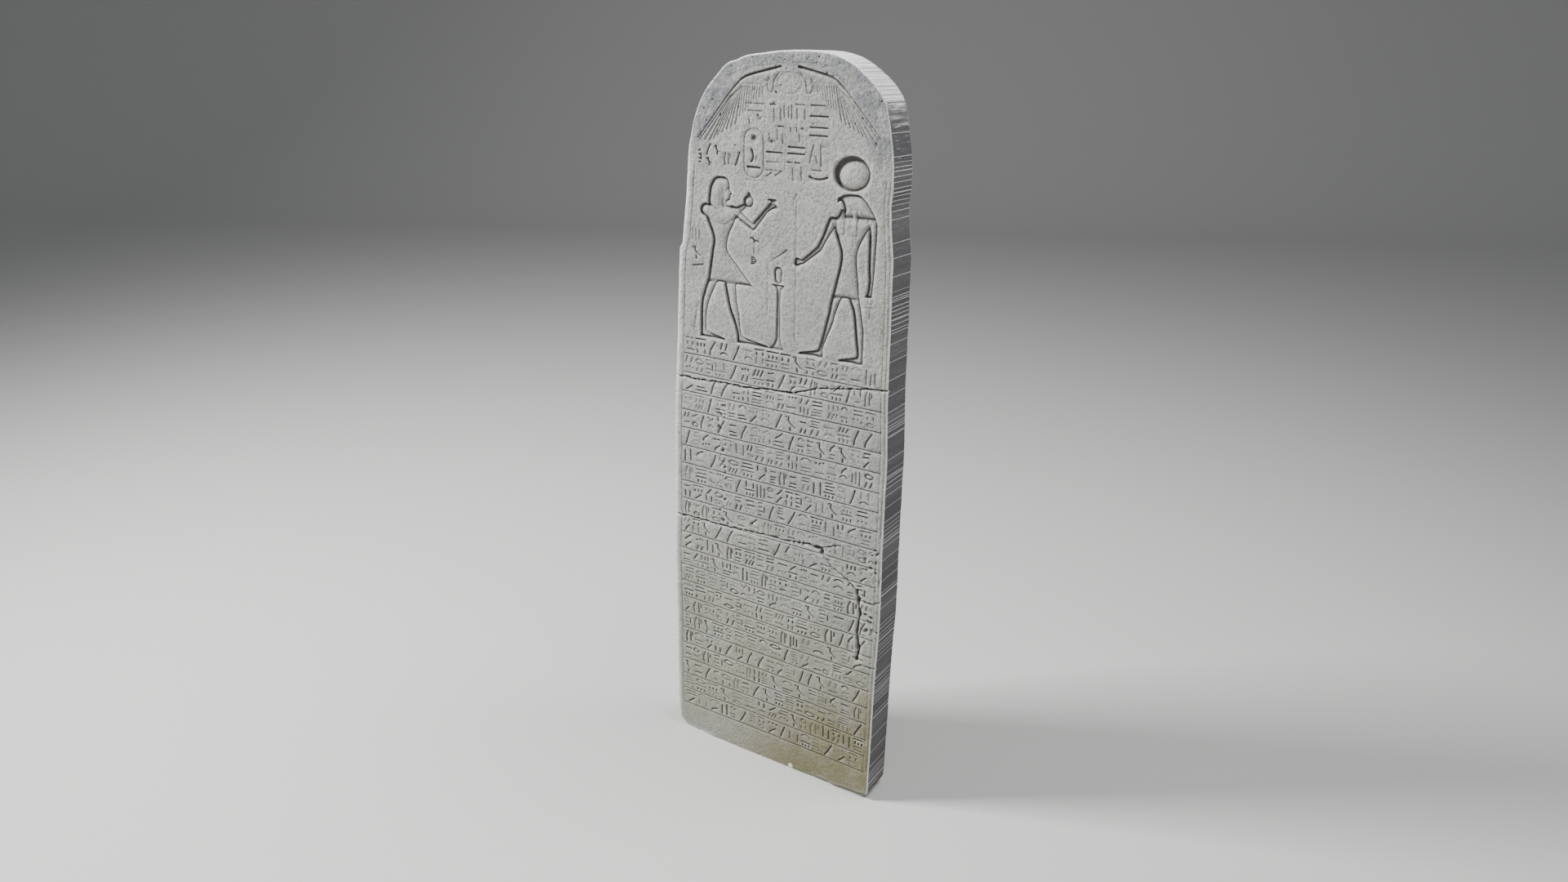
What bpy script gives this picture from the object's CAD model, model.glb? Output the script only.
# Dresses the carved stone stele: its cut face, worn edges, dressed sides and weathered stone.
# The face is laid out in millimetres, in x and height, and becomes metres when the mesh is made.
import math
from functools import cached_property

import bpy
import numpy as np
from mathutils import Matrix, Vector, kdtree


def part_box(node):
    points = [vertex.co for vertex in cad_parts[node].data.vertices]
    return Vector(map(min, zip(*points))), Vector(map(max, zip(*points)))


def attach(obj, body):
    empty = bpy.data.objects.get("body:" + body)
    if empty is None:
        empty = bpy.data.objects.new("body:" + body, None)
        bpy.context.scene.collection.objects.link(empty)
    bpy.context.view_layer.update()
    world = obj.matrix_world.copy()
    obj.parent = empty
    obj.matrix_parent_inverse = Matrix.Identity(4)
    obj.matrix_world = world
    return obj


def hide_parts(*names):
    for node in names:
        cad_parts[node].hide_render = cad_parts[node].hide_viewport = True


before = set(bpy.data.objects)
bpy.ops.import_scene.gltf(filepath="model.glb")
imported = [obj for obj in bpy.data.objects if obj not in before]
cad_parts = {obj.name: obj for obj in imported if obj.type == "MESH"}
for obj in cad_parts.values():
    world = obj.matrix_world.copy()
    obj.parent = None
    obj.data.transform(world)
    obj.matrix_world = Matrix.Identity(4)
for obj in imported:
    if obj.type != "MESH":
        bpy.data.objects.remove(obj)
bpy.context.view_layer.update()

# The slab, read from the frame
MM = 0.001
slab_low, slab_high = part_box("stele")
slab_height = (slab_high[2] - slab_low[2]) / MM
face_y = slab_low[1] / MM
back_y = slab_high[1] / MM

# The outline's driving sizes
foot_left = 411
foot_right = 405
lean_left = 79
lean_right = 20
lean_start = 800
lean_power = 1.6
arch_rise = 357
arch_power = 2.5
crown_shift = 75
foot_corner_left = 45
foot_corner_right = 42
spring_height = slab_height - arch_rise
wear_left = [
    (0, -6), (0.05, -4), (0.1, -1), (0.25, 0), (0.37, 1), (0.43, -7), (0.6, 4),
    (0.74, 6), (0.882, 12), (0.89, 3), (1, 0),
]
wear_right = [
    (0, -4), (0.15, -1), (0.23, 0), (0.33, 7), (0.5, 4), (0.6, 7), (0.7, 2),
    (0.9, 4), (0.95, -5), (0.975, -8), (1, -1),
]
wear_arch_left = [
    (0, 0), (0.15, -10), (0.33, -5), (0.42, -3), (0.5, -4), (0.56, 1), (0.61, 7), (0.65, 9),
    (0.69, 4), (0.75, 5), (0.85, -1), (1, 0),
]
wear_arch_right = [(0, -1), (0.2, -3), (0.3, 1), (0.38, 8), (0.5, 4), (0.6, 0), (0.8, 2), (1, 0)]

# How the front edge is worn: how far in the rounding reaches, and how deep it is at the edge
arris_left = (22, 8)
arris_right = (5, 2.5)
arris_top = (14, 5)
arris_back = 4
foot_chips = [
    (-0.49, 24), (-0.36, 13), (-0.24, 7), (-0.13, 1), (0.02, 1), (0.1, 5), (0.115, 10),
    (0.13, 6), (0.22, 12), (0.31, 14), (0.4, 17), (0.46, 21), (0.49, 26),
]
chip_slope = 0.6
chip_top = 60

# The grid of the mesh and the raster that the carving is cut in
cell = 1.25
mesh_columns = 600
mesh_rows = 1740
back_stride = 6
wall_steps = 6
most_faces = 198000

# Up to this far behind the face plane a point may lie in a cut
deepest_cut = 30

# The layout of the face
ground_line = slab_height - 877
row_pitch = 65.6
row_shrink = 0.124
foot_margin = 70
rule_width = 5.6
rule_depth = 5.4
sign_width = (22, 46)
sign_gap = (7, 13)
border_left = 33
border_right = 22
arch_line = 34

# The winged disc, the columns over the figures and the sun
wing_axis = 38
wing_top = slab_height - 44
wing_left = (324, 210)
wing_right = (297, 181)
disc_heart = slab_height - 89
disc_size = (41, 30)
column_top = slab_height - 134
column_foot = slab_height - 360
column_lines = (-120, -42, 31, 102, 175)
name_ring_shift = 37
name_ring_width = 70
name_ring_height = 142
sun_place = (248.6, slab_height - 326.3)
sun_size = (59.5, 50)
sun_depth = 15

# The figures stand on a grid of hands, 19 to a figure's height
figure_height = 515
hand = figure_height / 19
king_axis = -205
god_axis = 250
figure_depth = 12.5
fold_depth = 3.2
stroke_depth = 4.2
stroke_width = 5.4
stand_axis = 9
stand_height = 205
staff_axis = 70

# Worn places, as (x, height, reach, rise), and the worn strip down the upper rows
worn_patches = ((372, 885, 27, 80), (368, 680, 22, 50))
strip_axis = -201
strip_reach = 15
strip_low, strip_high = 870, 1310


def between(pairs, place):
    """The value at a place in a list of (place, value)."""
    places, values = zip(*pairs)
    return np.interp(place, places, values)


def lean_at(lean, z):
    share = np.clip((z - lean_start) / (spring_height - lean_start), 0, None)
    return lean * share ** lean_power


def left_edge(z):
    return foot_left - lean_at(lean_left, z) + between(wear_left, z / spring_height)


def right_edge(z):
    return foot_right - lean_at(lean_right, z) + between(wear_right, z / spring_height)


def arch(side, wear, turn, inset=0):
    """A point of the arch, from its spring at turn 0 to its crown at turn 1."""
    edge = right_edge(spring_height) if side > 0 else left_edge(spring_height)
    reach = edge - side * crown_shift - inset
    angle = turn * math.pi / 2
    swell = between(wear, turn)
    out = reach * max(0, math.cos(angle)) ** (2 / arch_power) + swell * math.cos(angle)
    up = (arch_rise - inset) * math.sin(angle) ** (2 / arch_power) + swell * math.sin(angle)
    return (crown_shift + side * out, spring_height + up)


def outline_stretches():
    """The bottom, right, top and left stretches of the outline, each anticlockwise."""
    foot_l, foot_r = -left_edge(foot_corner_left), right_edge(foot_corner_right)

    def corner(x, side, radius, start, end):
        turns = np.radians(np.linspace(start, end, 8))
        return [(x + side * radius * (math.cos(t) - 1), radius * (1 - math.sin(t))) for t in turns]

    bottom = corner(foot_l, -1, foot_corner_left, 45, 90) + corner(foot_r, 1, foot_corner_right, 90, 45)
    heights = np.linspace(foot_corner_right, spring_height, 400)
    right = corner(foot_r, 1, foot_corner_right, 45, 0) + [(float(right_edge(z)), z) for z in heights[1:]]
    right += [arch(1, wear_arch_right, t) for t in np.linspace(0, 0.5, 60)[1:]]
    top = [arch(1, wear_arch_right, t) for t in np.linspace(0.5, 1, 80)]
    top += [arch(-1, wear_arch_left, t) for t in np.linspace(1, 0.5, 80)[1:]]
    left = [arch(-1, wear_arch_left, t) for t in np.linspace(0.5, 0, 60)]
    heights = np.linspace(spring_height, foot_corner_left, 400)
    left += [(-float(left_edge(z)), z) for z in heights[1:]]
    left += corner(foot_l, -1, foot_corner_left, 0, 45)[1:]
    return bottom, right, top, left


def evenly(points, count):
    """count + 1 points at even steps along a polyline."""
    points = np.array(points)
    steps = np.hypot(*np.diff(points, axis=0).T)
    run = np.concatenate([[0], np.cumsum(steps)])
    places = np.linspace(0, run[-1], count + 1)
    return np.stack([np.interp(places, run, points[:, k]) for k in (0, 1)], -1)


def face_grid(columns, rows):
    """Grid points in (x, height) that fill the outline, with its four stretches as their sides."""
    bottom, right, top, left = outline_stretches()
    low = evenly(bottom, columns)
    east = evenly(right, rows)
    high = evenly(top, columns)[::-1]
    west = evenly(left, rows)[::-1]
    u = np.linspace(0, 1, columns + 1)[None, :, None]
    v = np.linspace(0, 1, rows + 1)[:, None, None]
    across = (1 - u) * west[:, None] + u * east[:, None]
    upward = (1 - v) * low[None] + v * high[None]
    corners = (1 - u) * (1 - v) * low[0] + u * (1 - v) * low[-1] + (1 - u) * v * high[0] + u * v * high[-1]
    return across + upward - corners


def smooth_path(points, steps=6):
    """A path through the points with round bends."""
    ends = [points[0], *points, points[-1]]
    path = []
    for a, b, c, d in zip(ends, ends[1:], ends[2:], ends[3:]):
        a, b, c, d = (np.array(p, float) for p in (a, b, c, d))
        for t in np.arange(steps) / steps:
            path.append(0.5 * (2 * b + (c - a) * t + (2 * a - 5 * b + 4 * c - d) * t ** 2
                               + (3 * b - a - 3 * c + d) * t ** 3))
    return [tuple(p) for p in path] + [tuple(points[-1])]


def ring(x, z, reach, rise, steps):
    """A closed oval path."""
    return [(x + reach * math.cos(t), z + rise * math.sin(t)) for t in np.linspace(0, 2 * math.pi, steps + 1)]


def link_inside(X, Z, a, b):
    """How far a place is inside two discs (x, z, radius) and the taper between them."""
    ax, az, ar = a
    bx, bz, br = b
    run = (bx - ax) ** 2 + (bz - az) ** 2 or 1
    t = np.clip(((X - ax) * (bx - ax) + (Z - az) * (bz - az)) / run, 0, 1)
    return ar + (br - ar) * t - np.hypot(X - ax - t * (bx - ax), Z - az - t * (bz - az))


def limb_inside(X, Z, discs):
    return np.max([link_inside(X, Z, a, b) for a, b in zip(discs, discs[1:])], 0)


def trunk_inside(X, Z, rows):
    """How far a place is inside a shape given by rows of (height, left, right)."""
    path = smooth_path(sorted(rows))
    corners = [(left, z) for z, left, right in path] + [(right, z) for z, left, right in path[::-1]]
    inside = np.full(X.shape, -30.0)
    xs, zs = zip(*corners)
    near = (X > min(xs) - 20) & (X < max(xs) + 20) & (Z > min(zs) - 20) & (Z < max(zs) + 20)
    px, pz = X[near], Z[near]
    gap = np.full(px.shape, np.inf)
    within = np.zeros(px.shape, bool)
    for (ax, az), (bx, bz) in zip(corners, corners[1:] + corners[:1]):
        run = (bx - ax) ** 2 + (bz - az) ** 2
        if run < 1e-9:
            continue
        t = np.clip(((px - ax) * (bx - ax) + (pz - az) * (bz - az)) / run, 0, 1)
        gap = np.minimum(gap, np.hypot(px - ax - t * (bx - ax), pz - az - t * (bz - az)))
        if az != bz:
            crossed = ((az > pz) != (bz > pz)) & (px < ax + (pz - az) * (bx - ax) / (bz - az))
            within ^= crossed
    inside[near] = np.where(within, gap, -gap)
    return inside


def merged(insides, round_over=2.0):
    """One shape made of several, with small fillets where they meet."""
    most = np.max(insides, 0)
    return most + round_over * np.log(sum(np.exp((inside - most) / round_over) for inside in insides))


def noise(shape, size, seed):
    """Smooth noise of unit strength on the raster, with lumps of about a size in millimetres."""
    rng = np.random.default_rng(seed)
    return soften(rng.standard_normal(shape), size / 2.2, unit=True)


def soften(values, reach, unit=False):
    """values blurred by a bell curve of that reach in millimetres."""
    fz = np.fft.fftfreq(values.shape[0], cell)[:, None]
    fx = np.fft.rfftfreq(values.shape[1], cell)[None, :]
    bell = np.exp(-2 * (math.pi * reach) ** 2 * (fz ** 2 + fx ** 2))
    blurred = np.fft.irfft2(np.fft.rfft2(values) * bell, s=values.shape)
    return blurred / blurred.std() if unit else blurred


class Face:
    """The depth of the cut face in millimetres on a raster of x and height."""

    def __init__(self):
        reach = foot_left + 10
        self.x = np.arange(-reach, reach + cell, cell)
        self.z = np.arange(0, slab_height + 2 * cell, cell)
        self.depth = np.zeros((len(self.z), len(self.x)))

    def window(self, points, margin):
        xs, zs = [p[0] for p in points], [p[1] for p in points]
        j = slice(*np.searchsorted(self.x, [min(xs) - margin, max(xs) + margin]))
        i = slice(*np.searchsorted(self.z, [min(zs) - margin, max(zs) + margin]))
        return (i, j), *np.meshgrid(self.x[j], self.z[i])

    def groove(self, points, width=stroke_width, depth=stroke_depth, slope=1.0):
        """Cuts a groove along a path; width and depth may be functions of the share of the path."""
        wide = width if callable(width) else lambda share: width
        deep = depth if callable(depth) else lambda share: depth
        most = max(wide(k / 8) for k in range(9))
        where, X, Z = self.window(points, most)
        cut = np.zeros(X.shape)
        last = max(1, len(points) - 1)
        for k, (a, b) in enumerate(zip(points, points[1:])):
            half = wide((k + 0.5) / last) / 2
            inside = link_inside(X, Z, (*a, half), (*b, half))
            cut = np.maximum(cut, deep((k + 0.5) / last) * np.clip(inside / (half * slope), 0, 1))
        self.depth[where] += cut

    def sink(self, groups, depth=figure_depth):
        """Sinks a figure: deep along its outline and swelling to its middle, nearer groups over farther."""
        corners = [(p[0], p[1]) for group in groups for p in group.reach]
        where, X, Z = self.window(corners, 30)
        insides = [group.inside(X, Z) for group in groups]
        outline = merged(insides, 1.5)
        sunk = depth * (0.1 + 0.9 * np.exp(-np.clip(outline, 0, None) / 8.5))
        folds = np.zeros(X.shape)
        for inside in insides[1:]:
            cover = np.clip(inside / 1.2 + 0.5, 0, 1)
            step = fold_depth * np.exp(np.clip(inside, None, 0) / 4)
            folds = np.maximum(folds * (1 - cover), step * (1 - cover))
        blend = np.clip(outline / 1.5 + 0.5, 0, 1)
        self.depth[where] += (sunk + folds - self.depth[where]) * blend

    def hollow(self, x, z, reach, rise, depth, floor=0.5):
        """A round hollow with sloping sides and a flat floor."""
        where, X, Z = self.window([(x, z)], max(reach, rise) + 2)
        inside = 1 - np.hypot((X - x) / reach, (Z - z) / rise)
        self.depth[where] = np.maximum(self.depth[where], depth * np.clip(inside / (1 - floor), 0, 1))


class Group:
    """Parts of a figure that lie at one level, given in hands from its axis and the ground line."""

    def __init__(self, axis, unit=hand):
        self.axis, self.unit = axis, unit
        self.parts, self.reach = [], []

    def limb(self, *discs):
        """A tapering limb through discs of (x, height, radius)."""
        unit = self.unit
        discs = [(self.axis + x * unit, ground_line + z * unit, r * unit) for x, z, r in discs]
        self.parts.append((limb_inside, discs))
        self.reach += [d[:2] for d in discs]
        return self

    def trunk(self, *rows):
        """A body given by rows of (height, left, right)."""
        unit = self.unit
        rows = [(ground_line + z * unit, self.axis + left * unit, self.axis + right * unit)
                for z, left, right in rows]
        self.parts.append((trunk_inside, rows))
        self.reach += [(x, z) for z, *sides in rows for x in sides]
        return self

    def inside(self, X, Z):
        return merged([measure(X, Z, places) for measure, places in self.parts])


def on_hands(axis, *points):
    return [(axis + x * hand, ground_line + z * hand) for x, z in points]


def carve_king(face):
    """The king walks to the right and holds up a jar in each hand."""
    far_arm = Group(king_axis)
    far_arm.limb((1.6, 15.3, 0.5), (4.39, 13.65, 0.36), (6.2, 15.7, 0.27), (6.9, 16.15, 0.27))
    far_arm.limb((6.6, 16.2, 0.26), (7.5, 16.15, 0.18))
    far_jar = Group(king_axis).limb((6.98, 16.4, 0.3), (6.98, 16.62, 0.22))
    far_jar.limb((6.5, 16.86, 0.09), (7.45, 16.86, 0.09))
    legs = Group(king_axis)
    legs.trunk((7.1, -1.95, -0.5), (4.83, -2.75, -1.59), (3.29, -2.97, -2.07), (1.74, -3.02, -2.2),
               (0.75, -3.04, -2.1), (0.1, -3.04, -1.6))
    legs.limb((-2.5, 0.5, 0.4), (-1.2, 0.34, 0.25), (0.4, 0.16, 0.12))
    legs.trunk((7.1, 0.35, 2.0), (5.02, 0.82, 2.2), (3.67, 1.2, 2.5), (2.71, 1.65, 2.6), (1.55, 2.12, 2.78),
               (0.75, 2.28, 3.0), (0.1, 2.32, 3.3))
    legs.limb((2.8, 0.5, 0.4), (4.2, 0.36, 0.26), (6.4, 0.16, 0.12))
    body = Group(king_axis)
    body.trunk((15.75, -1.7, 1.5), (15.1, -2.2, 2.2), (14.1, -2.07, 1.9), (12.7, -1.4, 1.15),
               (11.7, -1.15, 0.85), (10.55, -1.34, 0.93), (8.8, -1.62, 2.55), (6.9, -1.95, 4.35))
    face.sink([far_arm, far_jar, legs, body, king_face(), king_wig(), king_arm(), king_jar()])
    tail = on_hands(king_axis, (-3.1, 4.4), (-3.62, 2.5), (-3.95, 0.7))
    face.groove(smooth_path(tail), 5, 2.6)
    carve_king_features(face)


# The king's head is a plain calm one, divided in even thirds from chin to hairline
chin = 16.4
third = 0.6


def king_face():
    brow, nose = chin + 2 * third, chin + third
    front = 1.2
    head = Group(king_axis)
    head.trunk((brow + third + 0.35, 0, front - 0.3), (brow + third, 0, front - 0.05), (brow + 0.1, 0, front),
               (brow - 0.15, 0, front - 0.03), (nose + 0.12, 0, front + 0.32), (nose, 0, front + 0.26),
               (nose - 0.06, 0, front + 0.08), (nose - 0.2, 0, front + 0.17), (nose - 0.27, 0, front + 0.07),
               (nose - 0.36, 0, front + 0.13), (nose - 0.44, 0, front + 0.02), (chin + 0.08, 0, front + 0.06),
               (chin - 0.06, 0, front - 0.12), (chin - 0.3, 0, front - 0.46), (15.5, 0, front - 0.42))
    return head


def king_wig():
    return Group(king_axis).trunk(
        (18.9, -0.5, 0.5), (18.65, -1.0, 0.95), (18.0, -1.45, 1.05), (17.5, -1.62, 0.62), (16.6, -1.76, 0.3),
        (15.8, -1.8, 0.14), (14.9, -1.3, 0.06))


def king_arm():
    arm = Group(king_axis)
    return arm.limb((-2.2, 15.05, 0.74), (-0.6, 14.4, 0.66), (0.3, 14.25, 0.6), (1.73, 15.02, 0.46),
                    (3.1, 15.85, 0.3))


def king_jar():
    jar = Group(king_axis).limb((3.75, 16.45, 0.66), (3.8, 16.45, 0.66))
    return jar.limb((3.85, 17.0, 0.26), (3.85, 17.28, 0.2))


def carve_king_features(face):
    """Eye, brow, mouth and ear, and the folds of the kilt."""
    lines = [
        (((0.6, chin + 1.75 * third), (0.85, chin + 1.84 * third), (1.1, chin + 1.75 * third)), 2.2, 1.5),
        (((0.55, chin + 2.05 * third), (0.85, chin + 2.2 * third), (1.12, chin + 2.05 * third)), 2.0, 1.2),
        (((0.98, chin + 0.56 * third), (1.2, chin + 0.56 * third)), 1.8, 1.2),
        (((0.2, chin + 1.9 * third), (0.05, chin + 1.5 * third), (0.2, chin + 1.2 * third)), 2.4, 1.6),
        (((-1.15, 10.95), (0.9, 10.8)), 2.4, 0.9),
        (((0.6, 10.2), (1.6, 8.6), (2.0, 7.1)), 2.4, 0.9),
    ]
    for points, width, depth in lines:
        face.groove(smooth_path(on_hands(king_axis, *points), 4), width, depth)


def carve_god(face):
    """The god stands facing left, with a falcon's head, a staff and a looped sign."""
    far_arm = Group(god_axis)
    far_arm.limb((-2.2, 15.2, 0.56), (-3.05, 13.5, 0.38), (-3.75, 12.2, 0.33), (-5.85, 10.5, 0.26),
                 (-6.2, 10.45, 0.3))
    far_arm.limb((-6.5, 10.6, 0.32), (-6.55, 10.3, 0.34))
    legs = Group(god_axis)
    legs.trunk((7.3, 0.05, 1.45), (5.79, 0.7, 1.75), (3.86, 0.99, 2.1), (2.4, 1.2, 2.15), (1.2, 1.38, 2.15),
               (0.6, 1.25, 2.15), (0.1, 1.1, 2.15))
    legs.limb((1.7, 0.5, 0.4), (0.5, 0.34, 0.24), (-0.7, 0.16, 0.12))
    legs.trunk((7.3, -1.97, -0.7), (6.37, -2.19, -1.05), (5.2, -2.42, -1.51), (4.25, -2.67, -1.75),
               (2.4, -3.13, -2.5), (1.17, -3.5, -2.96), (0.6, -3.7, -3.0), (0.1, -3.6, -3.0))
    legs.limb((-3.35, 0.5, 0.4), (-4.6, 0.34, 0.24), (-5.9, 0.16, 0.12))
    body = Group(god_axis)
    body.trunk((15.85, -1.7, 2.4), (15.3, -2.1, 2.6), (14.46, -1.94, 2.0), (13.1, -1.42, 1.28),
               (12.0, -1.09, 0.95), (10.8, -1.15, 0.97), (9.2, -1.5, 1.22), (7.14, -2.0, 1.44))
    near_arm = Group(god_axis)
    near_arm.trunk((15.85, 1.9, 2.9), (15.2, 2.2, 3.2), (12.5, 2.3, 3.17), (10.6, 2.33, 3.1),
                   (9.45, 2.44, 3.05), (8.3, 2.34, 2.98), (7.6, 2.15, 2.85))
    head = Group(god_axis)
    head.trunk((18.25, -0.3, 0.8), (18.05, -0.95, 1.3), (17.6, -1.15, 1.85), (17.1, -0.95, 2.25),
               (16.5, -0.85, 2.65), (15.9, -1.0, 3.0))
    head.limb((-0.9, 17.72, 0.36), (-1.42, 17.68, 0.16), (-1.52, 17.4, 0.06))
    lappets = Group(god_axis).trunk((16.6, -1.2, -0.85), (15.4, -1.71, -0.78), (13.98, -1.71, -0.75))
    lappets.trunk((16.6, 0.1, 0.7), (15.4, 0.1, 0.75), (13.98, 0.1, 0.8))
    face.sink([far_arm, legs, body, near_arm, head, lappets])
    for points in (((2.2, 5.4), (2.73, 3.47), (3.47, 0.63)), ((-1.85, 7.4), (-0.3, 7.05), (1.4, 7.4))):
        face.groove(smooth_path(on_hands(god_axis, *points)), 3.4, 1.4)
    carve_god_eye(face)
    carve_hand_loop(face)
    carve_sun(face)


def carve_god_eye(face):
    eye = (0.13, 17.3)
    face.groove(on_hands(god_axis, *ring(*eye, 0.5, 0.45, 16)), 3, 1.8)
    (x, z), = on_hands(god_axis, eye)
    face.hollow(x, z, 4, 4, 3.5)


def carve_hand_loop(face):
    """A loop over a cross-bar and a stem, from the god's hanging hand."""
    (x, z), = on_hands(god_axis, (2.8, 7.3))
    face.groove(ring(x, z, 8, 12, 16), 4, 3.2)
    face.groove([(x - 13, z - 20), (x + 13, z - 20)], 4.4, 3.2)
    face.groove([(x, z - 20), (x, z - 52)], 4.4, 3)


def carve_sun(face):
    """A deep hollow with a dome in it, pushed to its lower right."""
    x, z = sun_place
    reach, rise = sun_size
    right, down = 5.5, 6
    face.hollow(x, z, reach + 1, rise + 1, sun_depth, floor=0.94)
    where, X, Z = face.window([sun_place], reach + 8)
    out = np.hypot((X - x - right) / (reach - 7), (Z - z + down) / (rise - 8))
    dome = 1.5 + (sun_depth - 2) * np.clip(out, 0, 1) ** 3.2
    face.depth[where] = np.where(out < 1, np.minimum(face.depth[where], dome), face.depth[where])


def carve_wing(face, side, reach, drop):
    """A wing with a bend at its shoulder, long outer feathers and short inner ones."""
    def at(out, down):
        return (wing_axis + side * reach * out, wing_top - drop * down)

    edge = [at(0.1, 0), at(0.4, 0.11), at(0.5, 0.17), at(0.55, 0.23), at(0.68, 0.43), at(1, 1)]
    face.groove(smooth_path(edge), lambda share: 9 * (1 - 0.5 * share),
                lambda share: 7.5 * (1 - 0.55 * share), 0.5)
    face.groove([at(0.28, 0.24), at(0.5, 0.24)], 3, 2.2)
    lay_feathers(face, (at(0.63, 0.4), at(0.51, 0.27)),
                 (at(0.98, 1.02), at(0.86, 1.03), at(0.76, 0.93), at(0.58, 0.79)), 4.8, 3.6)
    lay_feathers(face, (at(0.49, 0.27), at(0.28, 0.27)),
                 (at(0.53, 0.68), at(0.44, 0.56), at(0.36, 0.43), at(0.28, 0.38)), 3.6, 2.6)


def lay_feathers(face, roots, tips, width, depth, steps=8):
    """Feathers as grooves from even steps along their roots to even steps along their tips."""
    for root, tip in zip(evenly(roots, steps), evenly(tips, steps)):
        face.groove([tuple(root), tuple(tip)], width, depth, 0.8)


# A serpent's bends beside the disc, outwards and upwards from its heart
serpent_bends = ((36, 27), (46, 16), (54, 2), (57, -18), (62, -27), (72, -22), (76, -4), (70, 14))


def carve_winged_disc(face):
    face.groove(ring(wing_axis, disc_heart, *disc_size, 32), 3.4, 2.4)
    for side in (-1, 1):
        serpent = [(wing_axis + side * out, disc_heart + up) for out, up in serpent_bends]
        face.groove(smooth_path(serpent), 5, 3.6)
    carve_wing(face, -1, *wing_left)
    carve_wing(face, 1, *wing_right)


# Stand-ins for signs: plain strokes that fill a box, set so that they form no letter
def lay_bars(at, rng, room):
    for up in ((0.5,), (0.2, 0.8), (0.1, 0.5, 0.9))[rng.integers(1 + min(2, int(room[1] / 11)))]:
        yield [at(rng.uniform(0, 0.2), up), at(rng.uniform(0.75, 1), up + rng.uniform(-0.06, 0.06))]


def lay_posts(at, rng, room):
    most = max(2, min(3, int(room[0] / 11)))
    for across in np.linspace(0.1, 0.9, rng.integers(2, most + 1)):
        yield [at(across, rng.uniform(0, 0.2)), at(across + rng.uniform(-0.04, 0.04), rng.uniform(0.7, 1))]


def lay_slash(at, rng, room):
    bend = rng.uniform(-0.12, 0.12)
    yield smooth_path([at(0.2, 0), at(0.4 + bend, 0.4), at(0.8, 0.95)], 4)


def lay_ticks(at, rng, room):
    yield [at(0, 0.9), at(1, 0.9 + rng.uniform(-0.06, 0.06))]
    for across in np.linspace(0.15, 0.85, max(2, int(room[0] / 12))):
        yield [at(across, 0.05), at(across + 0.03, rng.uniform(0.3, 0.45))]


def lay_arc(at, rng, room):
    lift = rng.uniform(0.5, 0.65)
    yield smooth_path([at(0.05, lift), at(0.3, lift + 0.32), at(0.7, lift + 0.3), at(0.95, lift)], 4)


def lay_dots(at, rng, room):
    for across in (0.15, 0.5, 0.85):
        up = rng.uniform(0.45, 0.85)
        yield [at(across, up), at(across + 0.06, up + 0.1)]


def lay_bird(at, rng, room):
    yield smooth_path([at(0.3, 0.92), at(0.26, 0.68), at(0.52, 0.42), at(0.85, 0.25)], 4)
    yield [at(0.05, 0.88), at(0.1, 0.92)]
    yield [at(0.42, 0.22), at(0.45, 0)]


def lay_rake(at, rng, room):
    for across in np.linspace(0.08, 0.68, max(2, int(room[0] / 14))):
        yield [at(across, 0.1), at(across + rng.uniform(0.16, 0.24), 0.9)]


def lay_stack(at, rng, room):
    """Uneven bars over each other with a short post beside them."""
    for up in (0.08, 0.36, 0.66, 0.94):
        start = rng.uniform(0, 0.25)
        yield [at(start, up), at(rng.uniform(0.55, 0.75), up + rng.uniform(-0.04, 0.04))]
    yield [at(0.93, 0.3), at(0.95, 0.7)]


def lay_reed(at, rng, room):
    """A leaning blade beside an upright one."""
    yield smooth_path([at(0.2, 0), at(0.14, 0.5), at(0.36, 0.95)], 4)
    yield [at(0.7, 0.1), at(0.66, 0.9)]
    yield [at(0.9, 0.55), at(0.92, 0.85)]


def lay_eye(at, rng, room):
    yield smooth_path([at(0.02, 0.5), at(0.35, 0.82), at(0.98, 0.5)], 4)
    yield smooth_path([at(0.1, 0.3), at(0.5, 0.1), at(0.9, 0.28)], 4)


tall_kinds = (lay_posts, lay_slash, lay_slash, lay_bird, lay_stack, lay_reed)
flat_kinds = (lay_bars, lay_bars, lay_bars, lay_ticks, lay_arc, lay_dots, lay_posts, lay_rake, lay_eye,
              lay_slash, lay_ticks)


def carve_sign(face, rng, left, foot, width, height):
    """One tall stand-in, or two flat ones, over each other."""
    boxes = [(foot, height, tall_kinds)]
    if height > 40 and rng.random() < 0.66:
        split = rng.uniform(0.38, 0.56)
        boxes = [(foot, height * (split - 0.06), flat_kinds),
                 (foot + height * (split + 0.08), height * (0.92 - split), flat_kinds)]
    for low, rise, kinds in boxes:
        kind = kinds[rng.integers(len(kinds))]
        weight = rng.choice([0.65, 0.85, 1.05, 1.45])
        if kind in (lay_slash, lay_bird):
            weight = 1.5
        shift = rng.uniform(0, 0.12) * width

        def at(across, up):
            return (left + shift + across * (width - shift), low + up * rise)

        for path in kind(at, rng, (width, rise)):
            face.groove(path, stroke_width * (0.68 + 0.32 * weight), stroke_depth * weight, 0.6)


def carve_signs(face, seed, boxes):
    """Stand-ins in boxes given by (left, foot, width, height)."""
    rng = np.random.default_rng(seed)
    for box in boxes:
        carve_sign(face, rng, *box)


def rule_heights():
    heights, pitch = [ground_line], row_pitch
    while heights[-1] - pitch > foot_margin:
        heights.append(heights[-1] - pitch)
        pitch -= row_shrink
    return heights


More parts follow.
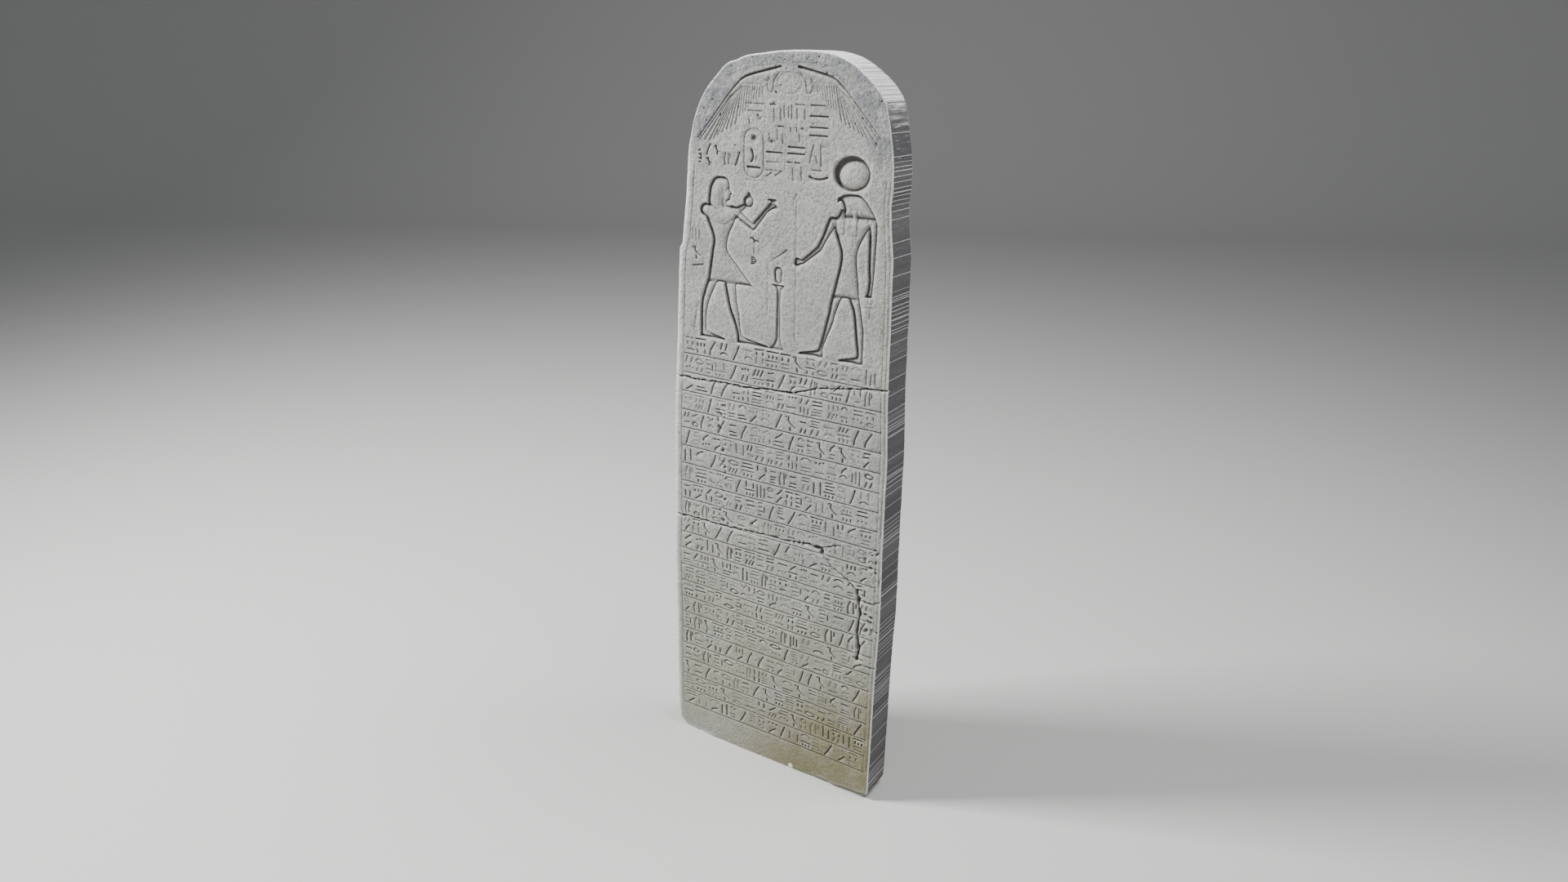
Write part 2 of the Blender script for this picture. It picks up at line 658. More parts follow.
def carve_rows(face):
    """Ruled rows with strokes of every size in them."""
    rng = np.random.default_rng(22)
    heights = rule_heights()
    for above, z in zip(heights, heights[1:]):
        left, right = -left_edge(z) + border_left, right_edge(z) - border_right
        face.groove([(left, z), (right, z)], rule_width, rule_depth)
        height = above - z
        x = left + 7
        while x < right - 26:
            width = min(rng.uniform(*sign_width), right - x - 6)
            carve_sign(face, rng, x, z + 0.12 * height, width, 0.76 * height)
            x += width + rng.uniform(*sign_gap)


def carve_borders(face):
    heights = np.linspace(foot_margin + 40, spring_height + 20, 60)
    for edge, side, inset, width in ((left_edge, -1, border_left - 3, 5), (right_edge, 1, border_right, 3.6),
                                     (right_edge, 1, 9, 3.6)):
        face.groove([(side * (float(edge(z)) - inset), z) for z in heights], width, 2.6)
    for side, wear in ((-1, wear_arch_left), (1, wear_arch_right)):
        face.groove([arch(side, wear, t, inset=arch_line) for t in np.linspace(0.08, 1, 50)], 3.4, 1.6)


# The strokes, column by column: bars as (start, end, drop, weight), posts as (place, drop, length)
column_bars = (
    ((10, 72, 14, 0.7), (16, 66, 35, 0.7)),
    ((16, 34, 14, 1.1), (44, 63, 74, 1), (5, 58, 148, 1.5), (5, 58, 176, 0.7), (5, 60, 200, 0.7)),
    ((30, 60, 12, 0.8), (7, 62, 130, 1.4), (7, 62, 148, 1.4), (6, 22, 173, 1), (31, 48, 173, 1)),
    ((10, 54, 12, 0.9), (8, 64, 41, 1.4), (8, 64, 72, 1.3), (8, 64, 94, 1.3), (20, 48, 190, 0.7)),
)
column_posts = (
    ((20, 58, 14),),
    ((29, 26, 34), (52, 22, 36), (64, 16, 34), (42, 84, 30), (14, 96, 22), (60, 96, 26)),
    ((6, 18, 30), (16, 14, 38), (34, 24, 28), (60, 24, 28), (14, 76, 12), (34, 74, 14), (44, 92, 22),
     (24, 190, 34), (52, 184, 38)),
    ((44, 118, 60),),
)
# The small strokes behind the king's head, as (left, foot, width, height)
beside_columns = ((-284, 2071, 8, 39), (-262, 2098, 26, 32), (-258, 2066, 24, 22), (-226, 2100, 20, 26),
                  (-196, 2070, 30, 39), (-156, 2072, 26, 39))


def carve_columns(face):
    """Short columns of strokes between the wings and the figures."""
    first, *others = column_lines
    face.groove([(first + 22, column_top), (others[-1] - 8, column_top)], 2.8, 1.7)
    for line in others:
        face.groove([(line, column_top), (line, column_foot)], 2.6, 1.4)
    for line, marks in zip(column_lines, column_bars):
        for start, end, drop, weight in marks:
            path = [(line + start, column_top - drop), (line + end, column_top - drop - 0.5)]
            face.groove(path, 5 + weight, stroke_depth * weight, 0.6)
    for line, marks in zip(column_lines, column_posts):
        for place, drop, length in marks:
            x, z = line + place, column_top - drop
            face.groove([(x, z), (x + 0.04 * length, z - length)], 4.5, 3, 0.6)
    carve_column_shapes(face)
    carve_name_ring(face, first + name_ring_shift)
    carve_signs(face, 5, beside_columns)


def carve_column_shapes(face):
    """The bent strokes, round hollows and bowl among the columns."""
    top = column_top
    for path in (smooth_path([(111, top - 172), (118, top - 140), (124, top - 120)], 4),
                 [(130, top - 150), (136, top - 172)], [(150, top - 124), (168, top - 126)]):
        face.groove(path, 4.5, 3, 0.6)
    for x, drop, reach, rise, depth in ((-62, 56, 9, 8, 3), (-20, 118, 7, 7, 5), (84, 77, 7, 6, 3.5)):
        face.hollow(x, top - drop, reach, rise, depth)
    bowl = [(x, column_foot + up) for x, up in ((112, 18), (124, 12), (150, 12), (170, 18))]
    face.groove(smooth_path(bowl, 5), 9, 6, 0.6)
    for start, drop in ((-38, 218), (-6, 214)):
        face.groove([(start, top - drop), (start + 20, top - drop + 12)], 5, 4, 0.6)


def carve_name_ring(face, x):
    """A ring with round ends over a base bar, with plain strokes in it."""
    foot, height, radius = column_foot, name_ring_height, name_ring_width / 2
    sides = []
    for angle in np.linspace(0, 2 * math.pi, 41):
        middle = foot + (height - radius if math.sin(angle) > 0 else radius)
        sides.append((x + radius * math.cos(angle), middle + radius * math.sin(angle)))
    sides.append(sides[0])
    face.groove(sides, 4.4, 4)
    face.groove([(x - radius, foot - 7), (x + radius, foot - 7)], 3.4, 2.4)
    face.groove([(x - 22, foot + 31), (x + 22, foot + 30)], 9, 6.5, 0.6)
    face.groove(smooth_path([(x - 8, foot + 47), (x - 2, foot + 62), (x - 8, foot + 82)], 4), 9, 5.5, 0.6)
    face.groove([(x + 8, foot + 52), (x + 11, foot + 64)], 5, 3.5)
    face.hollow(x, foot + height - 27, 12, 12, 6)


def carve_loose_signs(face):
    """The few strokes that stand between the figures and beside the king."""
    carve_signs(face, 11, ((-318, 1834, 34, 36), (-314, 1776, 34, 38), (-98, 1848, 38, 14),
                           (-84, 1812, 22, 18), (-92, 1780, 18, 22)))
    face.groove([(-310, 1752), (-274, 1758)], 9, 5.5)


def carve_stand(face):
    """The offering stand with its jar, the flower over it and the staff."""
    top = stand_height
    jar = Group(stand_axis, 1).limb((-2, top + 16, 13), (-2, top + 40, 15))
    stem = Group(stand_axis, 1).trunk((top, -24, 22), (top - 12, -10, 12), (top - 30, -6, 7), (60, -7, 8),
                                      (34, -9, 10), (14, -20, 15), (2, -36, 24))
    face.sink([stem, jar], 8)

    def over_ground(axis, *points):
        return [(axis + x, ground_line + z) for x, z in points]

    face.groove(over_ground(stand_axis, (-5, top + 62), (2, top + 64)), 5, 3)
    stalk = over_ground(stand_axis, (-38, 105), (-38, 256), (-31, 272), (-19, 281), (7, 298), (28, 314))
    face.groove(smooth_path(stalk), lambda share: 3.5 + 10 * max(0, share - 0.55),
                lambda share: 2.4 + 8 * max(0, share - 0.5))
    face.groove(over_ground(staff_axis, (0, 34), (0, 480)), 4, 2.4)
    face.groove(smooth_path(over_ground(staff_axis, (-11, 446), (-8, 466), (1, 484)), 4), 4, 2.6)
    face.groove([(king_axis - 92, ground_line), (god_axis + 105, ground_line)], 3, 1.6)


# Cracks, as (x, height)
upper_crack = [(-430, 1379), (-261, 1376), (-78, 1380), (57, 1393), (172, 1424), (313, 1447), (430, 1466)]
lower_crack = [(-430, 868), (-319, 869), (-282, 875), (-78, 877), (57, 882), (144, 895), (164, 890)]
lower_rise = [(164, 890), (219, 906), (261, 921)]
lower_fall = [(190, 876), (235, 835), (277, 817), (324, 778), (332, 735), (339, 702), (329, 629),
              (339, 566), (333, 530)]
side_cracks = [[(339, 747), (371, 745), (430, 768)], [(360, 516), (381, 514), (430, 522)],
               [(381, 655), (430, 640)]]
# Each stretch with its width, depth and number of lost flakes
crack_stretches = [
    (upper_crack[:4], 6.5, 9, 12), (upper_crack[3:], 6, 8, 8), (lower_crack, 6, 9, 18), (lower_rise, 5, 6, 2),
    (lower_fall[:4], 4.5, 7, 6), (lower_fall[3:], 11, 13, 16), *((path, 4.5, 7, 2) for path in side_cracks),
]
# Holes broken out along the cracks, as (x, height, reach, rise, depth)
crack_holes = [
    (176, 890, 25, 10, 15), (190, 880, 11, 14, 15), (331, 749, 11, 16, 15), (336, 577, 11, 20, 15),
    (334, 530, 9, 8, 11), (334, 668, 7, 11, 11), (36, 955, 19, 6, 8), (-84, 908, 9, 6, 7),
    (10, 884, 26, 7, 7), (-84, 879, 16, 6, 7), (26, 893, 12, 4, 6),
]


def ragged(points, rng, step=7, wander=1.6):
    """The same path in short steps that wander to either side."""
    path = evenly(points, max(2, int(np.hypot(*np.diff(points, axis=0).T).sum() / step)))
    drift = np.cumsum(rng.normal(0, wander * 0.6, len(path)))
    drift -= np.linspace(drift[0], drift[-1], len(path))
    jitter = rng.normal(0, wander * 0.5, len(path)) + np.clip(drift, -4, 4)
    return [(x, z + d) for (x, z), d in zip(path, jitter)]


def carve_crack(face, rng, points, width, depth, flakes):
    """A ragged groove of uneven width in a shallow worn one, with flakes lost along it."""
    path = ragged(points, rng)
    sizes = 0.55 + 0.9 * rng.random(len(path) + 1)

    def uneven(size):
        return lambda share: size * sizes[int(share * len(path))]

    face.groove(path, uneven(width), uneven(depth))
    face.groove(path, width * 2.6, 1.2)
    for _ in range(flakes):
        x, z = path[rng.integers(len(path))]
        size = rng.uniform(3, 8)
        face.hollow(x, z + rng.uniform(-3, 3), size * rng.uniform(1, 2.2), size, rng.uniform(2, 5), 0.2)


def carve_cracks(face):
    rng = np.random.default_rng(3)
    for stretch in crack_stretches:
        carve_crack(face, rng, *stretch)
    for x, z, reach, rise, depth in crack_holes:
        face.hollow(x, z, reach, rise, depth, 0.35)


def weather(face):
    """Softens the cuts, and lays lumps, pits and worn patches over the whole face."""
    shape = face.depth.shape
    face.depth = soften(face.depth, 0.6)
    X, Z = np.meshgrid(face.x, face.z)
    face.depth += 1.2 * noise(shape, 170, 1) + 0.4 * noise(shape, 42, 2) + 0.12 * noise(shape, 15, 3)
    pits = np.clip(noise(shape, 6, 5) - 2.0, 0, 1.4) * 2.4
    strip = np.exp(-((X - strip_axis + 8 * np.sin(Z / 60)) / strip_reach) ** 2)
    strip = strip * ((Z > strip_low) & (Z < strip_high))
    patch = sum(np.exp(-((X - x) / reach) ** 2 - ((Z - z) / rise) ** 2) for x, z, reach, rise in worn_patches)
    arch_band = np.clip((Z - spring_height) / 200, 0, 1)
    worn = np.clip(1.1 * strip + 1.6 * patch, 0, 1.2)
    rough = np.clip(noise(shape, 9, 6) - 0.5, 0, 2)
    face.depth += pits * (0.4 + 0.9 * arch_band + 1.5 * worn) + 4.2 * rough * worn


def break_foot(face):
    """Flakes lost from the lower front edge; the underside stays flat behind them."""
    X, Z = np.meshgrid(face.x, face.z[face.z < chip_top])
    width = foot_left + foot_right
    lumps = noise(face.depth.shape, 30, 8)[:len(Z)]
    heights = between(foot_chips, X / width) + 2.5 * lumps
    face.depth[:len(Z)] = np.maximum(face.depth[:len(Z)], chip_slope * (heights - Z))


def carved_face():
    face = Face()
    carve_borders(face)
    carve_winged_disc(face)
    carve_columns(face)
    carve_rows(face)
    carve_stand(face)
    carve_king(face)
    carve_god(face)
    carve_loose_signs(face)
    weather(face)
    carve_cracks(face)
    break_foot(face)
    return face


def sample(face, values, x, z):
    """Raster values at places, between cells."""
    u = np.clip((x - face.x[0]) / cell, 0, len(face.x) - 1.001)
    v = np.clip((z - face.z[0]) / cell, 0, len(face.z) - 1.001)
    j, i = u.astype(int), v.astype(int)
    du, dv = u - j, v - i
    low = values[i, j] * (1 - du) + values[i, j + 1] * du
    high = values[i + 1, j] * (1 - du) + values[i + 1, j + 1] * du
    return low * (1 - dv) + high * dv


def rounding(distance, arris):
    """How far a worn edge has dropped at a distance from it."""
    reach, drop = arris
    share = np.clip(1 - distance / reach, 0, 1)
    return drop * (1 - np.sqrt(1 - share ** 2))


def face_sheet(face, grid):
    """Depth of every grid point: the carving with the worn edges around it."""
    x, z = grid[..., 0], grid[..., 1]

    def gap(edge):
        return np.hypot(x - edge[..., 0], z - edge[..., 1])

    left, right, top = gap(grid[:, :1]), gap(grid[:, -1:]), gap(grid[-1:])
    jag = np.clip(1 + 0.35 * sample(face, noise(face.depth.shape, 26, 12), x, z), 0.5, 1.6)
    upper = np.clip((z - spring_height) / 150, 0, 1)
    sides = np.maximum(rounding(left / jag, arris_left), rounding(right / jag, arris_right)) * (1 - upper)
    crown = rounding(np.minimum(np.minimum(top, left), right) / jag, arris_top) * upper
    return sample(face, face.depth, x, z) + np.maximum(sides, crown)


def rim_indices(rows, columns):
    """Grid indices once round the outline, anticlockwise from the lower left corner."""
    index = np.arange(rows * columns).reshape(rows, columns)
    return np.concatenate([index[0, :-1], index[:-1, -1], index[-1, :0:-1], index[:0:-1, 0]])


def wall_rings(rim):
    """Rings of points from the face's rim to the back, with fine ribs and slow waves in them."""
    run = np.roll(rim, -1, 0) - np.roll(rim, 1, 0)
    outward = np.stack([run[:, 2], -run[:, 0]], -1)
    outward /= np.hypot(*outward.T)[:, None]
    standing = np.clip(rim[:, 2] / 25, 0, 1)
    rng = np.random.default_rng(40)

    def wander(span):
        return np.convolve(rng.standard_normal(len(rim)), np.ones(span) / span, "same")

    ribs, waves = wander(3), wander(41)
    for step in range(1, wall_steps + 1):
        share = step / wall_steps
        y = rim[:, 1] + (back_y - arris_back - rim[:, 1]) * share
        push = (0.3 * ribs + 2.2 * waves + 0.9 * wander(15)) * standing
        yield np.stack([rim[:, 0] + outward[:, 0] * push, y, rim[:, 2] + outward[:, 1] * push], -1)


def back_points(face, coarse):
    """The roughly hewn back, a little smaller than the face so that its edge is worn too."""
    x, z = coarse[..., 0], coarse[..., 1]
    shape = face.depth.shape
    hewn = noise(shape, 60, 20) * 1.6 + np.clip(noise(shape, 24, 21), 0, 2) * 1.4
    dents = np.zeros(x.shape)
    dents[1:-1, 1:-1] = np.clip(np.abs(sample(face, hewn, x, z)), 0, 5)[1:-1, 1:-1]
    narrower = 1 - arris_back / foot_left
    lower = np.where(z > 1, 1 - 0.0015 * (z / slab_height), 1)
    return np.stack([x * narrower, back_y - dents, z * lower], -1).reshape(-1, 3)


def back_joint(last, back_rim):
    """Faces from the last ring of the walls to the coarser rim of the back."""
    faces = []
    for k, corner in enumerate(back_rim):
        near = [int(last[(k * back_stride + n) % len(last)]) for n in range(back_stride + 1)]
        faces.append([near[0], int(corner), int(back_rim[(k + 1) % len(back_rim)])] + near[:0:-1])
    return faces


def stele_mesh(face):
    """The whole slab as one closed mesh: face, walls, underside and back."""
    columns, rows = ((mesh_columns, mesh_rows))
    grid = face_grid(columns, rows)
    depth = face_y + face_sheet(face, grid)
    front = np.concatenate([grid[..., :1], depth[..., None], grid[..., 1:]], -1).reshape(-1, 3)
    coarse = grid[::back_stride, ::back_stride]
    rim = rim_indices(rows + 1, columns + 1)
    points = [front, *wall_rings(front[rim]), back_points(face, coarse)]
    rings = [rim] + [len(front) + k * len(rim) + np.arange(len(rim)) for k in range(wall_steps)]
    back_start = len(front) + wall_steps * len(rim)
    faces = sheet_faces(rows + 1, columns + 1, 0, False)
    for near, far in zip(rings, rings[1:]):
        faces += np.stack([near, far, np.roll(far, -1), np.roll(near, -1)], -1).tolist()
    faces += sheet_faces(*coarse.shape[:2], back_start, True)
    faces += back_joint(rings[-1], back_start + rim_indices(*coarse.shape[:2]))
    return np.concatenate(points) * MM, faces


def sheet_faces(rows, columns, start, turned):
    index = start + np.arange(rows * columns).reshape(rows, columns)
    quads = np.stack([index[:-1, :-1], index[:-1, 1:], index[1:, 1:], index[1:, :-1]], -1).reshape(-1, 4)
    return (quads[:, ::-1] if turned else quads).tolist()


def mesh_from(name, points, faces):
    mesh = bpy.data.meshes.new(name)
    mesh.vertices.add(len(points))
    mesh.vertices.foreach_set("co", points.astype(np.float32).ravel())
    sizes = np.array([len(f) for f in faces])
    mesh.loops.add(int(sizes.sum()))
    mesh.loops.foreach_set("vertex_index", np.concatenate(faces).astype(np.int32))
    mesh.polygons.add(len(faces))
    mesh.polygons.foreach_set("loop_start", np.concatenate([[0], np.cumsum(sizes)[:-1]]).astype(np.int32))
    mesh.update()
    return mesh


def thinned(mesh, most):
    """A copy of the mesh with no more triangles than that, fine where the stone is carved."""
    rough = bpy.data.objects.new("rough_stone", mesh)
    bpy.context.scene.collection.objects.link(rough)
    triangles = sum(len(p.vertices) - 2 for p in mesh.polygons)
    modifier = rough.modifiers.new("thin", "DECIMATE")
    modifier.ratio = min(1, most / triangles)
    modifier.use_collapse_triangulate = True
    fine = bpy.data.meshes.new_from_object(rough.evaluated_get(bpy.context.evaluated_depsgraph_get()))
    bpy.data.objects.remove(rough)
    return fine


def paint_guides(mesh, face):
    """Attributes for the material: depth in the cuts, distance from the edge and run along it."""
    places = np.empty(len(mesh.vertices) * 3, np.float32)
    mesh.vertices.foreach_get("co", places)
    x, y, z = (places.reshape(-1, 3) / MM).T
    outline = evenly(np.concatenate([np.array(s) for s in outline_stretches()]), 3000)
    tree = kdtree.KDTree(len(outline))
    for i, (px, pz) in enumerate(outline):
        tree.insert((px, pz, 0), i)
    tree.balance()
    nearest, edge = np.array([tree.find((px, pz, 0))[1:] for px, pz in zip(x, z)]).T
    nearest = nearest.astype(int)
    step = np.roll(outline, -1, 0) - np.roll(outline, 1, 0)
    length = np.hypot(*step.T)
    off = np.stack([x, z], -1) - outline[nearest]
    along = (off * step[nearest]).sum(-1) / length[nearest]
    run = nearest * np.median(length) / 2 + along
    hollow = sample(face, face.depth - soften(face.depth, 7), x, z)
    on_face = y < face_y + deepest_cut
    guides = {"edge": edge * MM, "run": run * MM, "hollow": np.where(on_face & (edge > 6), hollow, 0)}
    for name, values in guides.items():
        layer = mesh.attributes.new(name, "FLOAT", "POINT")
        layer.data.foreach_set("value", values.astype(np.float32))


def operator(operation, swap=False):
    """A method that adds one Math node for an operator."""
    return lambda self, other: self.math(operation, other, swap)


class Number:
    """A shader socket that can be added, multiplied and so on, as a number is."""

    def __init__(self, shader, socket):
        self.shader, self.socket = shader, socket

    def math(self, operation, other, swap=False):
        values = [other, self] if swap else [self, other]
        return self.shader.node("ShaderNodeMath", {"operation": operation}, dict(enumerate(values))).out()

    __add__ = __radd__ = operator("ADD")
    __sub__ = operator("SUBTRACT")
    __rsub__ = operator("SUBTRACT", swap=True)
    __mul__ = __rmul__ = operator("MULTIPLY")
    __truediv__ = operator("DIVIDE")
    __rtruediv__ = operator("DIVIDE", swap=True)
    __pow__ = operator("POWER")

    def ramp(self, low, high):
        """0 below low, 1 above high, and even between them."""
        settings = {"clamp": True, "interpolation_type": "SMOOTHSTEP"}
        return self.shader.node("ShaderNodeMapRange", settings, {0: self, 1: low, 2: high}).out()


class Node:
    def __init__(self, shader, node):
        self.shader, self.node = shader, node

    def out(self, name=0):
        return Number(self.shader, self.node.outputs[name])


class Shader:
    """A material's node tree, written as expressions."""

    def __init__(self, name):
        self.material = bpy.data.materials.new(name)
        self.material.use_nodes = True
        self.tree = self.material.node_tree
        self.tree.nodes.clear()

    @cached_property
    def place(self):
        return self.node("ShaderNodeTexCoord").out("Object")

    def node(self, kind, settings=None, inputs=None):
        node = self.tree.nodes.new(kind)
        for name, value in (settings or {}).items():
            setattr(node, name, value)
        for name, value in (inputs or {}).items():
            if isinstance(value, Number):
                self.tree.links.new(value.socket, node.inputs[name])
            else:
                node.inputs[name].default_value = value
        return Node(self, node)

    def facing(self, name):
        """How far the surface faces along an axis of the object."""
        normal = self.node("ShaderNodeTexCoord").out("Normal")
        return self.node("ShaderNodeSeparateXYZ", None, {0: normal}).out(name)

    def attribute(self, name):
        return self.node("ShaderNodeAttribute", {"attribute_name": name}).out("Fac")

    def axis(self, name):
        return self.node("ShaderNodeSeparateXYZ", None, {0: self.place}).out(name)

    def grain(self, scale, detail=3, roughness=0.55):
        """Noise with so many lumps to the metre."""
        values = {"Vector": self.place, "Scale": scale, "Detail": detail, "Roughness": roughness}
        return self.node("ShaderNodeTexNoise", None, values).out("Fac")

    def line_grain(self, run, scale):
        """Noise that changes along one run only."""
        values = {"W": run, "Scale": scale, "Detail": 2}
        return self.node("ShaderNodeTexNoise", {"noise_dimensions": "1D"}, values).out("Fac")

    def line_cells(self, run, scale):
        """Thin lines at uneven distances along a run, so many to the metre."""
        settings = {"voronoi_dimensions": "1D", "feature": "DISTANCE_TO_EDGE"}
        gap = self.node("ShaderNodeTexVoronoi", settings, {"W": run, "Scale": scale}).out("Distance")
        return 1 - (gap / scale).ramp(0.0006, 0.0012)

    def mix(self, amount, first, second):
        """One colour at amount 0, the other at 1."""
        values = {"Factor": amount, 6: first, 7: second}
        return self.node("ShaderNodeMix", {"data_type": "RGBA"}, values).out(2)

    def bump(self, height, distance, strength=1.0, under=None):
        values = {"Height": height, "Distance": distance, "Strength": strength}
        if under is not None:
            values["Normal"] = under
        return self.node("ShaderNodeBump", None, values).out()


def colour(*channels):
    """A linear colour from the 0 to 255 values that a picture shows."""
    return (*(((v / 255 + 0.055) / 1.055) ** 2.4 if v > 10 else v / 3295 for v in channels), 1)


# The stone's tones
face_grey, face_pale = colour(162, 162, 159), colour(181, 180, 175)
grain_dark, grain_light, speck_dark = colour(124, 124, 121), colour(198, 197, 192), colour(104, 104, 103)
arch_patina = colour(114, 118, 124)
foot_olive, foot_ochre = colour(152, 153, 130), colour(126, 120, 87)
cut_shadow, cut_rim = colour(74, 71, 64), colour(210, 209, 204)
fresh_break, worn_arris, bright_arris = colour(245, 243, 236), colour(226, 226, 223), colour(238, 238, 236)
side_dark, side_grey, side_line = colour(92, 92, 94), colour(106, 106, 107), colour(226, 226, 226)
top_white, top_line = colour(254, 254, 253), colour(150, 150, 152)
back_arris = colour(205, 205, 205)
floor_grey = colour(206, 206, 204)

# Where the white break on the foot is, in metres, and how far it reaches
break_x, break_z = 0.09, 0.012
break_reach = (0.006, 0.012)


def stone_material():
    """Pale grey grainy stone: darker round the arch, ochre low on the right, dark lined sides."""
    stone = Shader("weathered_stone")
    x, y, z = (stone.axis(name) for name in "XYZ")
    edge, run, hollow = (stone.attribute(name) for name in ("edge", "run", "hollow"))
    fine = stone.grain(240, 3, 0.65)
    coarse = stone.grain(95, 4, 0.62)
    pale = face_colour(stone, x, z, edge, hollow, fine, coarse)
    dark, lines = side_colour(stone, y, run)
    sideways = (1 - (stone.facing("Y") * -1).ramp(0.45, 0.62)) * (1 - edge.ramp(0.004, 0.007))
    relief = stone.bump(coarse, 0.0085)
    relief = stone.bump(fine, 0.0022, under=relief)
    relief = stone.bump(lines * sideways, 0.001, 0.8, under=relief)
    shader = stone.node("ShaderNodeBsdfPrincipled", None, {
        "Base Color": stone.mix(sideways, pale, dark), "Roughness": 0.82 + 0.12 * coarse, "Normal": relief,
        "Specular IOR Level": 0.2,
    })
    stone.node("ShaderNodeOutputMaterial", None, {"Surface": shader.out()})
    return stone.material


def face_colour(stone, x, z, edge, hollow, fine, coarse):
    """Grain, patina round the arch, stains at the foot, dark cuts and pale worn edges, in that order."""
    pale = stone.mix(stone.grain(9, 4).ramp(0.35, 0.7), face_grey, face_pale)
    pale = stone.mix((1 - coarse.ramp(0.36, 0.54)) * 0.5, pale, grain_dark)
    pale = stone.mix(fine.ramp(0.5, 0.64) * 0.5, pale, grain_light)
    pale = stone.mix(stone.grain(520, 1, 0.5).ramp(0.64, 0.74) * 0.5, pale, speck_dark)
    patina = z.ramp(spring_height * MM, (spring_height + 140) * MM) * (1 - edge.ramp(0.05, 0.1))
    pale = stone.mix(patina * stone.grain(26, 4, 0.7).ramp(0.3, 0.6) * 0.72, pale, arch_patina)
    olive = (1 - z.ramp(0.2, 1.1)) * 0.65 * stone.grain(5, 3).ramp(0.15, 0.55)
    pale = stone.mix(olive, pale, foot_olive)
    wander = (stone.grain(6, 4) - 0.5) * 0.5
    ochre = (x + wander).ramp(-0.3, 0.2) * (1 - (z - x * 0.5 + wander).ramp(0.0, 0.38))
    pale = stone.mix(ochre * stone.grain(16, 4, 0.7).ramp(0.1, 0.6) * 0.85, pale, foot_ochre)
    pale = stone.mix(hollow.ramp(0.4, 2.8) * 0.78, pale, cut_shadow)
    pale = stone.mix((1 - hollow.ramp(-1.9, -0.4)) * 0.5, pale, cut_rim)
    from_break = ((x - break_x) ** 2 + (z - break_z) ** 2) ** 0.5
    pale = stone.mix(1 - from_break.ramp(*break_reach), pale, fresh_break)
    worn_left = (1 - edge.ramp(0.006, 0.023)) * (1 - x.ramp(-0.3, -0.2)) * (1 - z.ramp(2.0, 2.2))
    pale = stone.mix(worn_left * 0.85, pale, worn_arris)
    return stone.mix((1 - edge.ramp(0.002, 0.0055)) * 0.9, pale, bright_arris)


def side_colour(stone, y, run):
    """Dark grey sides with thin pale lines across the thickness, in clusters; white over the arch."""
    drift = run + (stone.grain(7, 2) - 0.5) * 0.003
    packed = stone.line_cells(drift, 75) * stone.line_grain(run, 5.5).ramp(0.5, 0.55)
    loose = stone.line_cells(drift + 0.37, 17)
    lines = 1 - (1 - packed) * (1 - loose * 0.9)
    dark = stone.mix(stone.line_grain(run, 9).ramp(0.35, 0.7), side_dark, side_grey)
    dark = stone.mix(lines * 0.9, dark, side_line)
    dark = stone.mix(y.ramp((back_y - 6) * MM, (back_y - 4) * MM) * 0.8, dark, back_arris)
    white = stone.mix(stone.line_grain(drift, 150).ramp(0.45, 0.62) * 0.75, top_white, top_line)
    return stone.mix(stone.facing("Z").ramp(0.2, 0.42), dark, white), lines


def make_stele():
    face = carved_face()
    mesh = thinned(mesh_from("stele_stone", *stele_mesh(face)), most_faces)
    mesh.name = "stele_stone"
    paint_guides(mesh, face)
    mesh.polygons.foreach_set("use_smooth", np.ones(len(mesh.polygons), bool))
    mesh.set_sharp_from_angle(angle=math.radians(48))
    mesh.materials.append(stone_material())
    stele = bpy.data.objects.new("stele_stone", mesh)
    bpy.context.scene.collection.objects.link(stele)
    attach(stele, "root")
    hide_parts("stele")


def floor_material():
    paint = Shader("floor_paint")
    shader = paint.node("ShaderNodeBsdfPrincipled", None, {"Base Color": floor_grey, "Roughness": 0.9})
    paint.node("ShaderNodeOutputMaterial", None, {"Surface": shader.out()})
    return paint.material


def make_floor():
    """A pale floor that sweeps up into a backdrop behind the stele."""
    reach, back, turn, rise = 45, 12, 5, 16
    profile = [(-reach, 0.0), (back, 0.0)]
    for angle in np.linspace(0.1, math.pi / 2, 12):
        profile.append((back + turn * math.sin(angle), turn * (1 - math.cos(angle))))
    profile.append((back + turn, rise))
    spin = Matrix.Rotation(math.radians(camera_azimuth), 3, "Z")
    points = np.array([spin @ Vector((side * reach, y, z)) for y, z in profile for side in (-1, 1)])
    faces = [[2 * i, 2 * i + 1, 2 * i + 3, 2 * i + 2] for i in range(len(profile) - 1)]
    mesh = mesh_from("floor", points, faces)
    mesh.polygons.foreach_set("use_smooth", np.ones(len(faces), bool))
    mesh.materials.append(floor_material())
    floor = bpy.data.objects.new("floor", mesh)
    bpy.context.scene.collection.objects.link(floor)


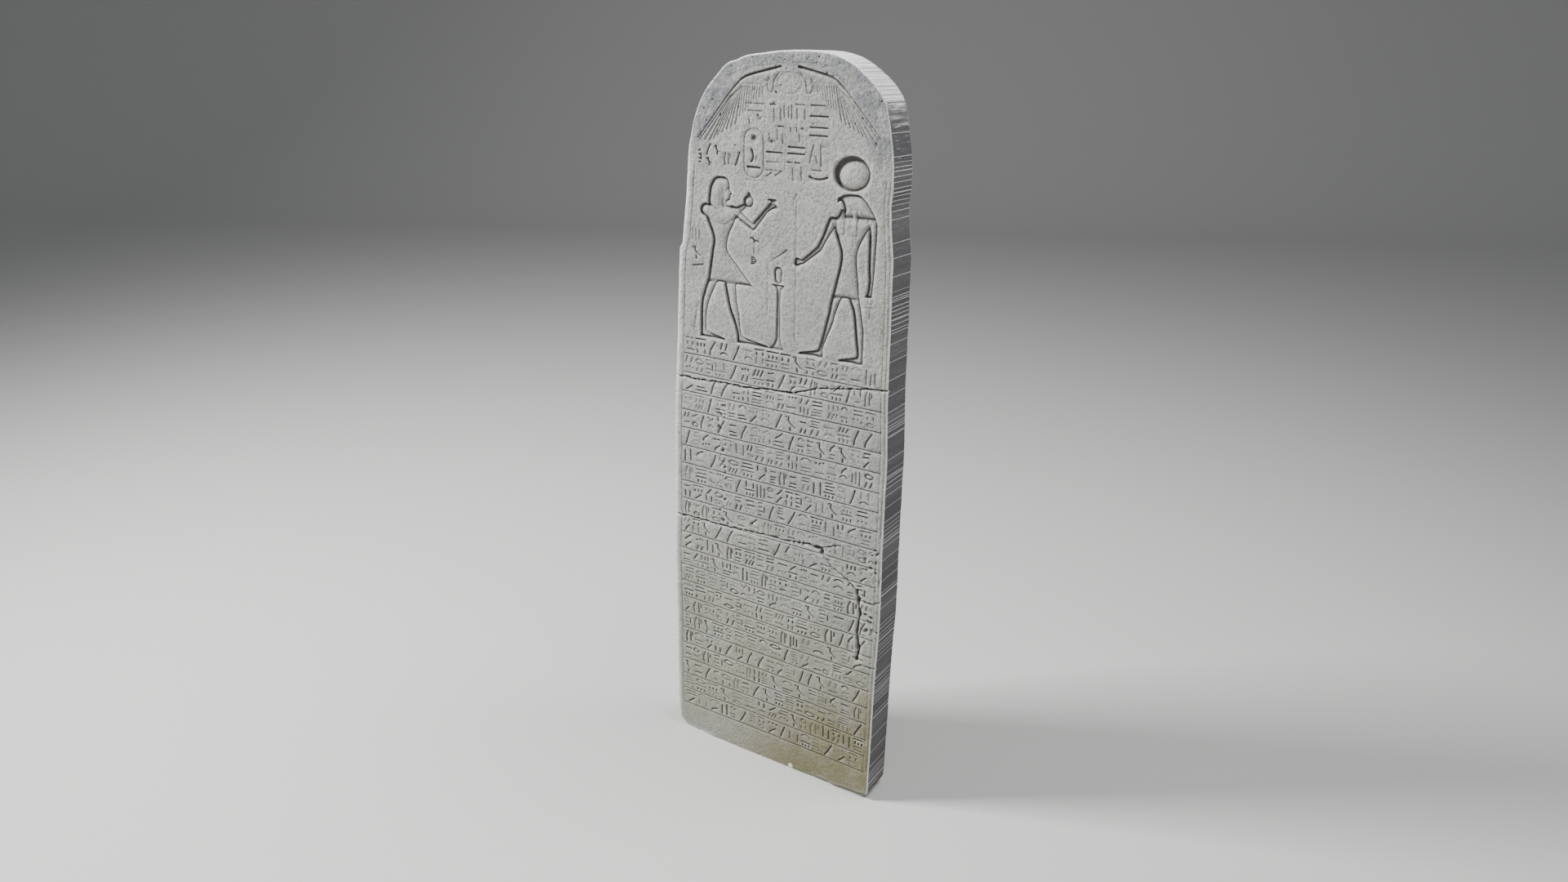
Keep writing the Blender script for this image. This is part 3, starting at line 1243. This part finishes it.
# The camera, solved from the photograph's perspective in a unit of which the slab is 2.231 tall
camera_azimuth = 32.116
camera_elevation = 20.101
camera_roll = -1.005
camera_lens = 24.444
camera_offset = (0.04937, -0.04157, 3.10492)
photo_unit = slab_height / 2231.005
photo_origin = (0.09506, 1.19975)


def make_camera():
    azimuth, elevation = math.radians(camera_azimuth), math.radians(camera_elevation)
    roll = math.radians(camera_roll)
    ahead = Vector((-math.sin(azimuth) * math.cos(elevation), math.cos(azimuth) * math.cos(elevation),
                    -math.sin(elevation)))
    right = Vector((math.cos(azimuth), math.sin(azimuth), 0))
    down = ahead.cross(right)
    across = math.cos(roll) * right + math.sin(roll) * down
    below = math.cos(roll) * down - math.sin(roll) * right
    turn = Matrix((across, -below, -ahead)).transposed()
    place = -(across * camera_offset[0] + below * camera_offset[1] + ahead * camera_offset[2])
    place = Vector(((place.x + photo_origin[0]) * photo_unit, place.y * photo_unit + face_y * MM,
                    (place.z + photo_origin[1]) * photo_unit))
    data = bpy.data.cameras.new("camera")
    data.lens = camera_lens
    data.sensor_width = 36
    camera = bpy.data.objects.new("camera", data)
    camera.matrix_world = Matrix.Translation(place) @ turn.to_4x4()
    bpy.context.scene.collection.objects.link(camera)
    bpy.context.scene.camera = camera


def make_light(name, place, target_height, size, power):
    data = bpy.data.lights.new(name, "AREA")
    data.shape = "SQUARE"
    data.size = size
    data.energy = power
    light = bpy.data.objects.new(name, data)
    aim = Vector((0, 0, target_height)) - Vector(place)
    light.matrix_world = Matrix.Translation(place) @ aim.to_track_quat("-Z", "Y").to_matrix().to_4x4()
    bpy.context.scene.collection.objects.link(light)


def make_lights():
    make_light("key", (-3.6, -2.3, 5.4), target_height=1.2, size=1.2, power=720)
    make_light("front_fill", (2.5, -5.5, 2.2), target_height=1.2, size=4.0, power=40)
    make_light("top_fill", (2.2, 0.6, 5.5), target_height=1.9, size=3.0, power=225)
    world = bpy.data.worlds.new("studio")
    world.use_nodes = True
    background = world.node_tree.nodes["Background"]
    background.inputs["Color"].default_value = (0.9, 0.92, 0.95, 1)
    background.inputs["Strength"].default_value = 0.22
    bpy.context.scene.world = world


make_camera()
make_floor()
make_lights()
make_stele()
